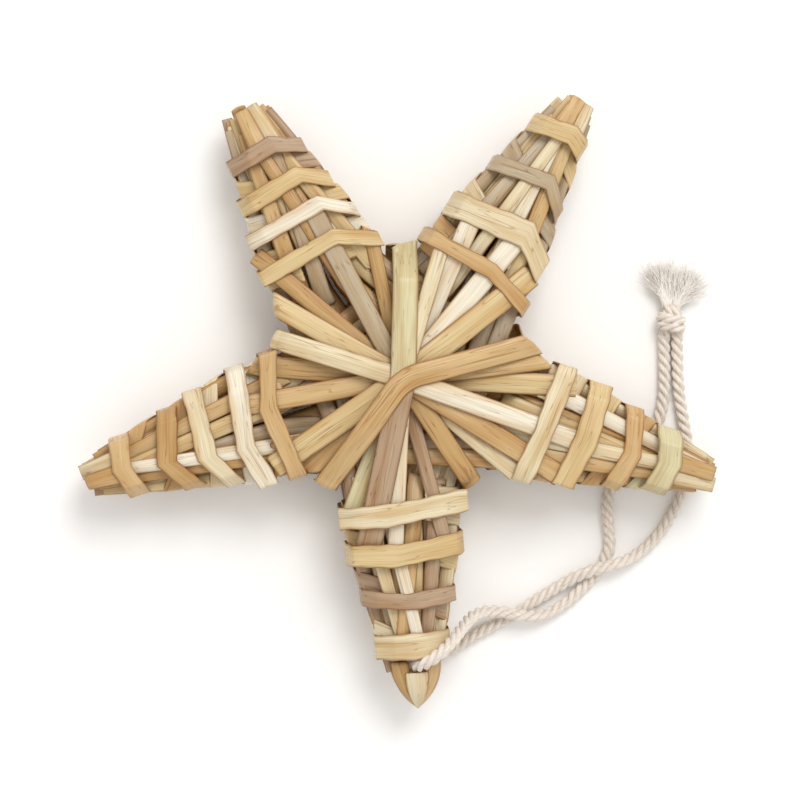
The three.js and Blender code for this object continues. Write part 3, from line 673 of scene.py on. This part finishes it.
def laid_straw(arm, face, bed, ends, width, tone, rng):
    """A straw over what lies on an arm already, from one reach and offset to another.

    It runs straight in plan and narrows evenly. Its height is that of a line pulled tight over
    the highest things under it, and it sinks in a little between them.
    """
    narrowing, thick, sunk = 0.28, 0.5, 0.12
    (reach, offset), (far_reach, far_offset) = ends
    t = np.linspace(0, 1, int(abs(far_reach - reach) / STEP))
    plan = arm_point(arm, reach + (far_reach - reach) * t, offset + (far_offset - offset) * t)
    wide = width * (1 - narrowing * t)
    side = crosswise(unit(np.gradient(plan, axis=0)))
    feelers = [plan + share * wide[:, None] * side for share in (-0.4, -0.2, 0, 0.2, 0.4)]
    beneath = np.max([bed.top(points) for points in feelers], axis=0)
    distance = along(plan)
    known = beneath > EMPTY
    taut = np.interp(distance, distance[known], drawn_tight(distance[known], beneath[known]))
    surface = ribbon(plan, wide, taut + thick / 2 - sunk)
    bed.lay(surface + np.array([0, 0, 0.5 * thick]))
    return straw_body(
        surface * [1, 1, face], thick, tone, own_grain(rng), width,
        fold=rng.choice(CREASES), lift=0.2 * face)


def inner_straws(arm, rng):
    """Straws inside an arm and along its sides: they close it, so that no light comes through.

    Those in the middle plane fill half the arm each and most of its height; the others are slim.
    All draw together towards the centre and the tip.
    """
    bodies = []
    for share, level, tone in INNER:
        end = min(TIP_REACHES[arm], 51) - (3.4 if arm == 0 else 0.5) - rng.uniform(0, 2)
        reach = np.arange(6, end, 0.8)
        half, ridge, _ = profile(reach)
        core = level == 0
        offset = share * (half - (1.0 if core else 1.6)) * np.clip(reach / 14, 0.3, 1)
        wide = 0.5 * half if core else np.minimum(2.8, 0.5 * half)
        surface = ribbon(arm_point(arm, reach, offset), wide, level * np.clip(half / 6, 0.4, 1))
        thick = 0.55 * ridge if core else 1.3
        bodies.append(straw_body(surface, thick, tone, own_grain(rng), wide=3.0, power=2.4))
    return bodies


# each arm's slanting straws: where each starts and ends across the arm, as shares of half width
SLANTING = [
    [(-0.72, -0.30, "cream"), (0.66, 0.5, "brown"), (0.30, -0.52, "tan"), (-0.34, 0.34, "white")],
    [(0.70, 0.42, "white"), (-0.70, -0.5, "tan"), (0.16, -0.35, "yellow"), (-0.36, 0.30, "cream")],
    [(0.70, 0.30, "grey"), (-0.68, -0.42, "yellow"), (-0.28, 0.36, "white"), (0.26, -0.24, "cream")],
    [(0.66, 0.44, "tan"), (-0.80, -0.30, "yellow"), (0.28, -0.48, "grey"), (-0.22, 0.30, "amber")],
    [(0.70, 0.50, "amber"), (-0.66, -0.46, "tan"), (-0.28, 0.30, "yellow"), (0.55, -0.28, "white")],
]

# straws inside every arm: place across it as a share of its half width, height, tone
INNER = [(-0.3, 0, "amber"), (0.3, 0, "amber"), (-0.84, 1.1, "tan"), (-0.84, -1.1, "yellow"),
         (0.84, 1.1, "cream"), (0.84, -1.1, "tan")]
# where the straws that show at each tip come out, under the outermost band
TIP_FROM = [0, 45.6, 47.4, 42.6, 47.0]
# the bottom arm's straws end short of the twine
LOOP_REACH = 45.6

beds = {1: Bed(), -1: Bed()}
faces = {1: "front", -1: "back"}
rng = np.random.default_rng(21)
for face, label in faces.items():
    bundles = [whole_straws(line, face, beds[face], rng) for line in range(5)]
    for arm, tip in enumerate(TIP_REACHES):
        for first, last, tone in SLANTING[arm]:
            start = rng.uniform(15, 18)
            end = LOOP_REACH if arm == 0 else tip - rng.uniform(1, 5)
            ends = [(reach, face * share * (float(profile(reach)[0]) - SLANT_ROOM))
                    for reach, share in ((start, first), (end, last))]
            bundles[arm].append(laid_straw(arm, face, beds[face], ends, rng.uniform(2.7, 3.2), tone, rng))
        if arm:
            for offset, tone in ((-1.2, "cream"), (0.5, "tan")):
                ends = [(TIP_FROM[arm], offset * 1.4), (tip + rng.uniform(-0.8, 0.5), offset)]
                bundles[arm].append(laid_straw(arm, face, beds[face], ends, 3.4, tone, rng))
        if face > 0:
            bundles[arm] += inner_straws(arm, rng)
    for line, bodies in enumerate(bundles):
        bundle = build(f"{label}_bundle_{line + 1}", bodies, straw_skin)
        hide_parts(f"{label}_straws_{line + 1}")

# ------------------------------------------------------------------------------ straws across the centre
# Flattened straws drawn tight over the middle, each over the last, so that they fan out from the
# centre. Ends near an arm's axis go down that arm under its bands; the others fold over an edge.

# each straw: bearings of its two ends, width, and the tones of its two halves
FRONT_STRIPS = [
    (175, -3, 3.6, "amber", "yellow"), (102, -75, 2.4, "amber", "brown"), (66, -110, 3.3, "white", "green"),
    (140, -40, 3.0, "amber", "cream"), (190, 7, 3.4, "tan", "tan"), (118, -56, 3.3, "grey", "amber"),
    (50, -135, 3.6, "white", "tan"), (150, -32, 3.6, "yellow", "tan"), (38, -145, 4.0, "yellow", "yellow"),
    (73, -92, 2.6, "cream", "white"), (163, -20, 3.4, "cream", "white"), (88, -101, 4.2, "green", "brown"),
    (-125, 14, 3.8, "tan", "tan"),
]
BACK_STRIPS = [
    (0, -170, 3.6, "tan", "cream"), (72, -98, 3.6, "amber", "yellow"), (144, -42, 3.6, "cream", "tan"),
    (36, -134, 3.6, "yellow", "brown"), (108, -62, 3.6, "tan", "white"), (180, -26, 3.6, "cream", "amber"),
    (90, -80, 3.8, "green", "tan"), (18, -152, 3.8, "tan", "yellow"),
]
STRAW = 0.33           # thickness of a flattened straw
LAY_GAP = 0.04         # between it and those below it
BEND_REACH = 3.0       # a straw bends within this distance of the centre
STRIP_STEP = 0.4
SKEW = 2.6             # most that one side of an end is longer than the other
FOLD_RADIUS = 0.55     # of the corner over which an end turns down
FOLD_DROP = 3.2        # from there on towards the middle plane
FOLD_CLEAR = 0.35      # from what lies below to the start of the fold
OUTSIDE = 30.0         # past the star's edge between two arms
TUCK_LIMIT = 20.0      # ends within these degrees of an arm go down it
TUCK_REACHES = [28.6, 31.4, 30.2, 30.6, 27.6]
TUCK_WIDTH = 7.4       # a tucked end stays this near the arm's axis


def bent_way(start, end):
    """Plan of a straw: straight towards the centre, a parabola round it, and straight on.

    Gives its length, the middle of its bend, and a function from distances to plan points.
    """
    near, far = unit(start) * BEND_REACH, unit(end) * BEND_REACH
    lead = np.linalg.norm(start) - BEND_REACH
    turn = np.linalg.norm(far - near)
    length = lead + turn + np.linalg.norm(end) - BEND_REACH

    def at(distance):
        d = np.asarray(distance, float)[..., None]
        t = np.clip((d - lead) / turn, 0, 1)
        before = start + (near - start) * d / lead
        after = far + (end - far) * (d - lead - turn) / (length - lead - turn)
        bend = near * (1 - t) ** 2 + far * t ** 2
        return np.where(d < lead, before, np.where(d > lead + turn, after, bend))

    return length, lead + turn / 2, at


def side_of(at, distance):
    """Level direction across a way at distances along it."""
    return crosswise(unit(at(distance + 0.2) - at(distance - 0.2)))


def edge_end(bed, at, offset, middle, direction):
    """Where one side of a straw leaves the star, searched outwards from 9 mm past its middle."""
    distance = middle + direction * np.arange(9, 38, 0.3)
    empty = bed.top(at(distance) + offset * side_of(at, distance)) == EMPTY
    return distance[np.argmax(empty)] if empty.any() else distance[-1]


def strip_end(bed, at, middle, width, direction):
    """Distances at which a straw's own width ends, its two sides at most SKEW apart."""
    ends = np.array([edge_end(bed, at, s * width / 2, middle, direction) for s in (-1, 1)])
    nearer = direction * np.min(direction * ends)
    ends = nearer + direction * np.minimum(direction * (ends - nearer), SKEW)
    return np.interp(ACROSS, [-1, 1], ends)


def strip_surface(bed, start, end, width, tucked):
    """Middle surface of one straw: drawn tight over the bed, its free ends folded down.

    Its height is smoothed, but never more than 0.03 below the tight line. Every point is set by
    its distance from its own end, so the end follows the star's edge. Past the end the surface
    turns down in a quarter circle and runs on towards the middle plane, where it stops.
    """
    length, middle, at = bent_way(start, end)
    first = np.zeros(len(ACROSS)) if tucked[0] else strip_end(bed, at, middle, width, -1)
    last = np.full(len(ACROSS), length) if tucked[1] else strip_end(bed, at, middle, width, 1)
    d = np.arange(first.min(), last.max() + STRIP_STEP, STRIP_STEP)
    feelers = np.linspace(-1, 1, 9) * (width / 2 + 0.2)
    beneath = np.max([bed.top(at(d) + feeler * side_of(at, d)) for feeler in feelers], axis=0)
    known = beneath > EMPTY
    taut = np.interp(d, d[known], drawn_tight(d[known], beneath[known])) + LAY_GAP + STRAW / 2
    settled = smooth(np.column_stack([d, taut]), reach=3)[:, 1]
    share = np.linspace(0, 1, int((last.max() - first.min()) / STRIP_STEP))[:, None]
    plan = first + (last - first) * share
    height = np.interp(plan, d, np.maximum(settled, taut - 0.03))
    quarter = FOLD_RADIUS * math.pi / 2
    for limit, direction, goes_in in ((first, -1, tucked[0]), (last, 1, tucked[1])):
        if goes_in:
            continue
        a = np.linspace(0.15, FOLD_DROP + quarter, 14)[:, None]
        angle = np.minimum(a / FOLD_RADIUS, math.pi / 2)
        past = limit + direction * (FOLD_CLEAR + FOLD_RADIUS * np.sin(angle))
        corner = np.interp(limit, d, taut) - FOLD_RADIUS * (1 - np.cos(angle))
        fall = np.maximum(corner - np.maximum(a - quarter, 0), 0.25 + 0.004 * a)
        keep = np.concatenate([[True], np.diff(fall[:, MIDDLE]) < -0.02])
        order = slice(None, None, direction)
        plan = np.concatenate([past[keep][order], plan] if direction < 0 else [plan, past[keep]])
        height = np.concatenate([fall[keep][order], height] if direction < 0 else [height, fall[keep]])
    points = at(plan) + (ACROSS * width / 2)[None, :, None] * side_of(at, plan)
    return np.concatenate([points, height[..., None]], axis=2)


def straw_end(bearing):
    """End point of a straw at a bearing, and whether it goes down an arm."""
    turns = [abs((bearing - tip + 540) % 360 - 180) for tip in TIP_BEARINGS]
    turn, arm = min(zip(turns, range(5)))
    inside = TUCK_WIDTH / math.sin(math.radians(max(turn, 1)))
    tucked = turn < TUCK_LIMIT
    return polar(min(TUCK_REACHES[arm], inside) if tucked else OUTSIDE, bearing), tucked


rng = np.random.default_rng(5)
for face, strips in ((1, FRONT_STRIPS), (-1, BACK_STRIPS)):
    for i, (start, end, width, tone, other) in enumerate(strips):
        (a, tuck_a), (b, tuck_b) = straw_end(start), straw_end(end)
        surface = strip_surface(beds[face], a, b, width, (tuck_a, tuck_b))
        beds[face].lay(surface + np.array([0, 0, STRAW / 2]))
        body = straw_body(surface * [1, 1, face], STRAW, (tone, other), own_grain(rng), width,
                          power=5.0, fold=rng.choice(CREASES), lift=0.22 * face)
        strip = build(f"{faces[face]}_fan_straw_{i + 1}", [body], straw_skin)
        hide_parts(f"{faces[face]}_strip_{i + 1}")

# ------------------------------------------------------------------------------ bands
# Short flattened straws folded tightly round each arm over everything else, creased at the ridges
# and at both sides, their ends tucked in behind. Inside the first band, and from each to the next,
# a straw is wound round either side of the arm and goes in between the rest.

# each band: place and offset of its front crease, width, how far its counter-clockwise and
# clockwise sides lie from the crease along the arm, and its tone
BANDS = {
    "bottom": [(22.2, -3, 3.7, -1.3, 0, "cream"), (28.9, -1.4, 3.7, -1.2, -0.6, "yellow"),
               (36.6, -0.4, 2.8, -0.6, -1.0, "brown"), (44, 0, 4.2, -0.2, 0, "cream")],
    "right": [(24.7, -1.2, 3.4, 0.7, -0.9, "cream"), (31.8, -0.7, 3.9, 0, -1.3, "yellow"),
              (39.9, -0.4, 3.1, -1.6, -1.5, "tan"), (46.2, 0, 4.2, -1.3, -0.9, "green")],
    "upper_right": [(22.4, -2, 2.6, -0.6, -2.4, "tan"), (30.4, -3.8, 4.5, -2.0, -3.6, "cream"),
                    (39.6, -2.6, 2.8, -2.0, -3.6, "grey"), (48, -1.6, 3.4, -1.4, -1.4, "yellow")],
    "upper_left": [(25.4, -3.5, 2.8, -0.8, -3.6, "yellow"), (31.2, -4, 2.6, -0.6, -3.6, "white"),
                   (36.8, -3, 3.0, -0.8, -3.0, "yellow"), (43, -1.4, 2.8, -0.6, -2.4, "brown")],
    "left": [(22.1, -2, 3.0, -1.2, -2.6, "tan"), (27.5, 3, 3.3, -1.6, -2.2, "white"),
             (33.9, 2.6, 3.3, -3.0, -0.9, "cream"), (40.4, 1.4, 3.5, -3.2, -2.6, "amber"),
             (47.6, 0, 3.4, -1.4, -1.0, "tan")],
}
BAND_ROOM = 0.5        # from an arm's outline in to the middle of a band
BAND_SKIN = 0.3        # thickness of a band
REST_WIDTH = 2.8       # of the flat back of an innermost band, which the star rests on
KEEL_WIDTH = 1.0       # of the others
OUTLINE_STEP = 0.2
WOUND = 3.0            # width of a wound straw
WOUND_INSIDE = 1.2     # how far in under a band it starts and ends
WOUND_START = 19.5     # nearest to the centre that one starts


def convex_hull(points):
    """Corners of the smallest convex outline round points, counter-clockwise."""
    points = points[np.lexsort((points[:, 1], points[:, 0]))]
    chains = []
    for ordered in (points, points[::-1]):
        chain = []
        for p in ordered:
            while len(chain) > 1 and np.cross(chain[-1] - chain[-2], p - chain[-1]) <= 1e-9:
                chain.pop()
            chain.append(p)
        chains += chain[:-1]
    return np.array(chains)


def rounded_outline(corners, push, radius, step):
    """A closed outline set outwards by push, evenly spaced, its corners rounded by a running mean."""
    edges = np.roll(corners, -1, axis=0) - corners
    normals = unit(np.column_stack([edges[:, 1], -edges[:, 0]]))
    before = np.roll(normals, 1, axis=0)
    scale = 2 * push / np.sum((normals + before) ** 2, axis=1, keepdims=True)
    set_out = corners + (normals + before) * scale
    closed = np.vstack([set_out, set_out[:1]])
    ring = even(closed, step)[:-1]
    reach = max(1, int(radius / step))
    return sum(np.roll(ring, k, axis=0) for k in range(-reach, reach + 1)) / (2 * reach + 1)


def band_surface(arm, reach, crease, width, ahead, behind, first):
    """Middle surface of a band: a taut outline round the arm's contents, carried across its width.

    The outline is the convex hull of a design outline and of all that lies under the band, a
    little set out and rounded. The design has the crease in front, two upright sides, and a flat
    behind, on the floor in an innermost band. The band slants from its crease: a point lies
    further along the arm by ahead, or behind on the other side, times its share of the way from
    the crease to the arm's edge. Its width wavers by two slow sines, and its middle is hollow.
    """
    half, ridge, side = (float(v) for v in profile(reach))

    def slant(offset):
        up, down = (offset - crease) / (half - crease), (crease - offset) / (crease + half)
        return np.where(offset > crease, ahead * np.minimum(up, 1.3), behind * np.minimum(down, 1.3))

    over = reach + np.linspace(-width / 2, width / 2, 10)
    crest, keel = (
        min(np.max(beds[face].top(arm_point(arm, over, at))) + 0.2, ridge - 0.3)
        for face, at in ((1, crease), (-1, 0)))
    edge, shoulder = half - BAND_ROOM - 0.6 * float(fold_room(reach)), side - 0.6
    back = BACK_DEPTH - BAND_ROOM if first else keel
    flat = (REST_WIDTH if first else KEEL_WIDTH) / 2
    design = [
        (crease - 0.1, crest), (crease + 0.1, crest), (edge, shoulder), (edge, -shoulder),
        (flat, -back), (-flat, -back), (-edge, -shoulder), (-edge, shoulder)]
    offset, near = np.meshgrid(
        np.arange(-half - 3, half + 3, 0.35), np.linspace(-width / 2 - 0.4, width / 2 + 0.4, 10))
    place = arm_point(arm, reach + near + slant(offset), offset)
    contents = [design]
    for face, bed in beds.items():
        top = bed.top(place)
        under = (top > EMPTY) & (np.abs(offset) < half + 0.15)
        contents.append(np.column_stack([offset[under], face * (top[under] - 0.02)]))
    hull = convex_hull(np.concatenate(contents))
    ring = rounded_outline(hull, push=0.3, radius=0.2, step=OUTLINE_STEP)
    ring[:, 1] = np.maximum(ring[:, 1], BAND_SKIN / 2 + 0.02 - BACK_DEPTH)
    count = np.arange(len(ring))
    ragged = 1 + 0.05 * np.sin(count * 0.11 + reach) + 0.03 * np.sin(count * 0.31)
    lie = reach + slant(ring[:, :1]) + ACROSS[None, :] * 0.5 * width * ragged[:, None]
    hollow = 1 - 0.008 * (1 - ACROSS ** 2)
    points = arm_point(arm, lie, ring[:, :1] * hollow)
    return np.concatenate([points, ring[:, 1:, None] * hollow[None, :, None]], axis=2)


def wound_straw(arm, side, front_reach, back_reach, tone, rng):
    """A flat straw wound round one side of an arm, from its front face to its back face.

    It is a straight strip on the arm's side laid out flat: one way is the distance round the
    arm's outline, the other the distance along the arm. The outline is that of the arm halfway
    between, scaled to its width and height elsewhere. Its ends go down between the straws.
    """
    midway = (front_reach + back_reach) / 2
    half, ridge, side_height = (float(v) for v in profile(midway))
    edge, crown = half - 0.45 - float(fold_room(midway)), ridge - CROWN_ROOM
    shoulder = side_height + 0.45 * (crown - side_height)
    corners = [(0.35 * half, crown - 0.9), (0.55 * half, shoulder), (edge, side_height - 0.5)]
    mirrored = [(offset, -height) for offset, height in corners[::-1]]
    outline = smooth(even(np.array(corners + mirrored), OUTLINE_STEP), reach=3)
    around = along(outline)
    t = np.linspace(0, 1, int(around[-1] / 0.45))[:, None]
    run = np.array([around[-1], back_reach - front_reach])
    across = crosswise(unit(run)) * WOUND / 2
    place = np.clip(run[0] * t + across[0] * ACROSS, 0, around[-1])
    length = front_reach + run[1] * t + across[1] * ACROSS
    local_half, local_ridge, _ = profile(length)
    offset = np.interp(place, around, outline[:, 0]) * local_half / half
    height = np.interp(place, around, outline[:, 1]) * local_ridge / ridge
    surface = np.concatenate([arm_point(arm, length, side * offset), height[..., None]], axis=2)
    return straw_body(surface, 0.4, tone, own_grain(rng), WOUND, power=5.0)


def passes(station):
    """Reaches at which a band passes the counter-clockwise and the clockwise side of its arm."""
    return station[0] + station[3], station[0] + station[4]


rng = np.random.default_rng(11)
for arm, (label, stations) in enumerate(BANDS.items()):
    for i, (*shape, tone) in enumerate(stations):
        surface = band_surface(arm, *shape, i == 0)
        bodies = [straw_body(surface, BAND_SKIN, tone, own_grain(rng), shape[2], power=8.0, loop=True)]
        left, right = passes(shape)
        if i == 0:
            bodies += [wound_straw(arm, 1, max(left - 2, WOUND_START), left + 0.8, tone, rng),
                       wound_straw(arm, -1, right + 0.8, max(right - 2, WOUND_START), tone, rng)]
        if i + 1 < len(stations):
            far_left, far_right = (reach - WOUND_INSIDE for reach in passes(stations[i + 1]))
            bodies += [wound_straw(arm, 1, left + WOUND_INSIDE, far_left, tone, rng),
                       wound_straw(arm, -1, far_right, right + WOUND_INSIDE, stations[i + 1][-1], rng)]
        band = build(f"{label}_fold_{i + 1}", bodies, straw_skin)
        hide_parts(f"band_{label}_{i + 1}")

# ------------------------------------------------------------------------------ bottom tip
# The straws of the bottom arm are cut short behind the loop. Three flattened straws on each face,
# folded over the end, close it and meet in a point, round one more straw between the two faces.

TIP_START, TIP_END = 46.6, 54.3
TIP_SHIFT = 0.3      # from the arm's axis, counter-clockwise


def closing(reach, start=TIP_START):
    """Share left of a width or height on its way to the tip's point: 1 - t^2.2, t from 0 to 1."""
    return 1 - ((reach - start) / (TIP_END - start)) ** 2.2


tip_straws = []
for face in (1, -1):
    for offset, start, tone in ((-2.6, TIP_START, "amber"), (2.8, TIP_START, "tan"), (0.0, 48.5, "cream")):
        reach = np.linspace(start, TIP_END, 16)
        left = closing(reach, start)
        t = np.linspace(0, 1, 16)
        middle = (2.3 if offset else 3.0) * left
        wide = (2.9 if offset else 3.9) * (0.28 + 0.72 * left)
        tilt = 0.25 * offset * (1 - t)
        surface = ribbon(
            arm_point(0, reach, offset * left + TIP_SHIFT), wide, np.stack([middle + tilt, middle - tilt]))
        tip_straws.append(straw_body(
            surface * [1, 1, face], 0.8 * (1 - 0.4 * t), tone, 300 + len(tip_straws), wide=3.2,
            power=3.0, lift=0.4 * face))
# one more straw fills the inside from just past the twine on
reach = np.linspace(48.8, 54.0, 14)
inside = ribbon(arm_point(0, reach, TIP_SHIFT), 0.8 + 4.6 * closing(reach), 0 * reach)
tip_straws.append(straw_body(inside, 0.3 + 3.7 * closing(reach), "tan", 310, wide=3.2, power=2.6))
cap = build("bottom_tip", tip_straws, straw_skin)
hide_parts("tip_cap")
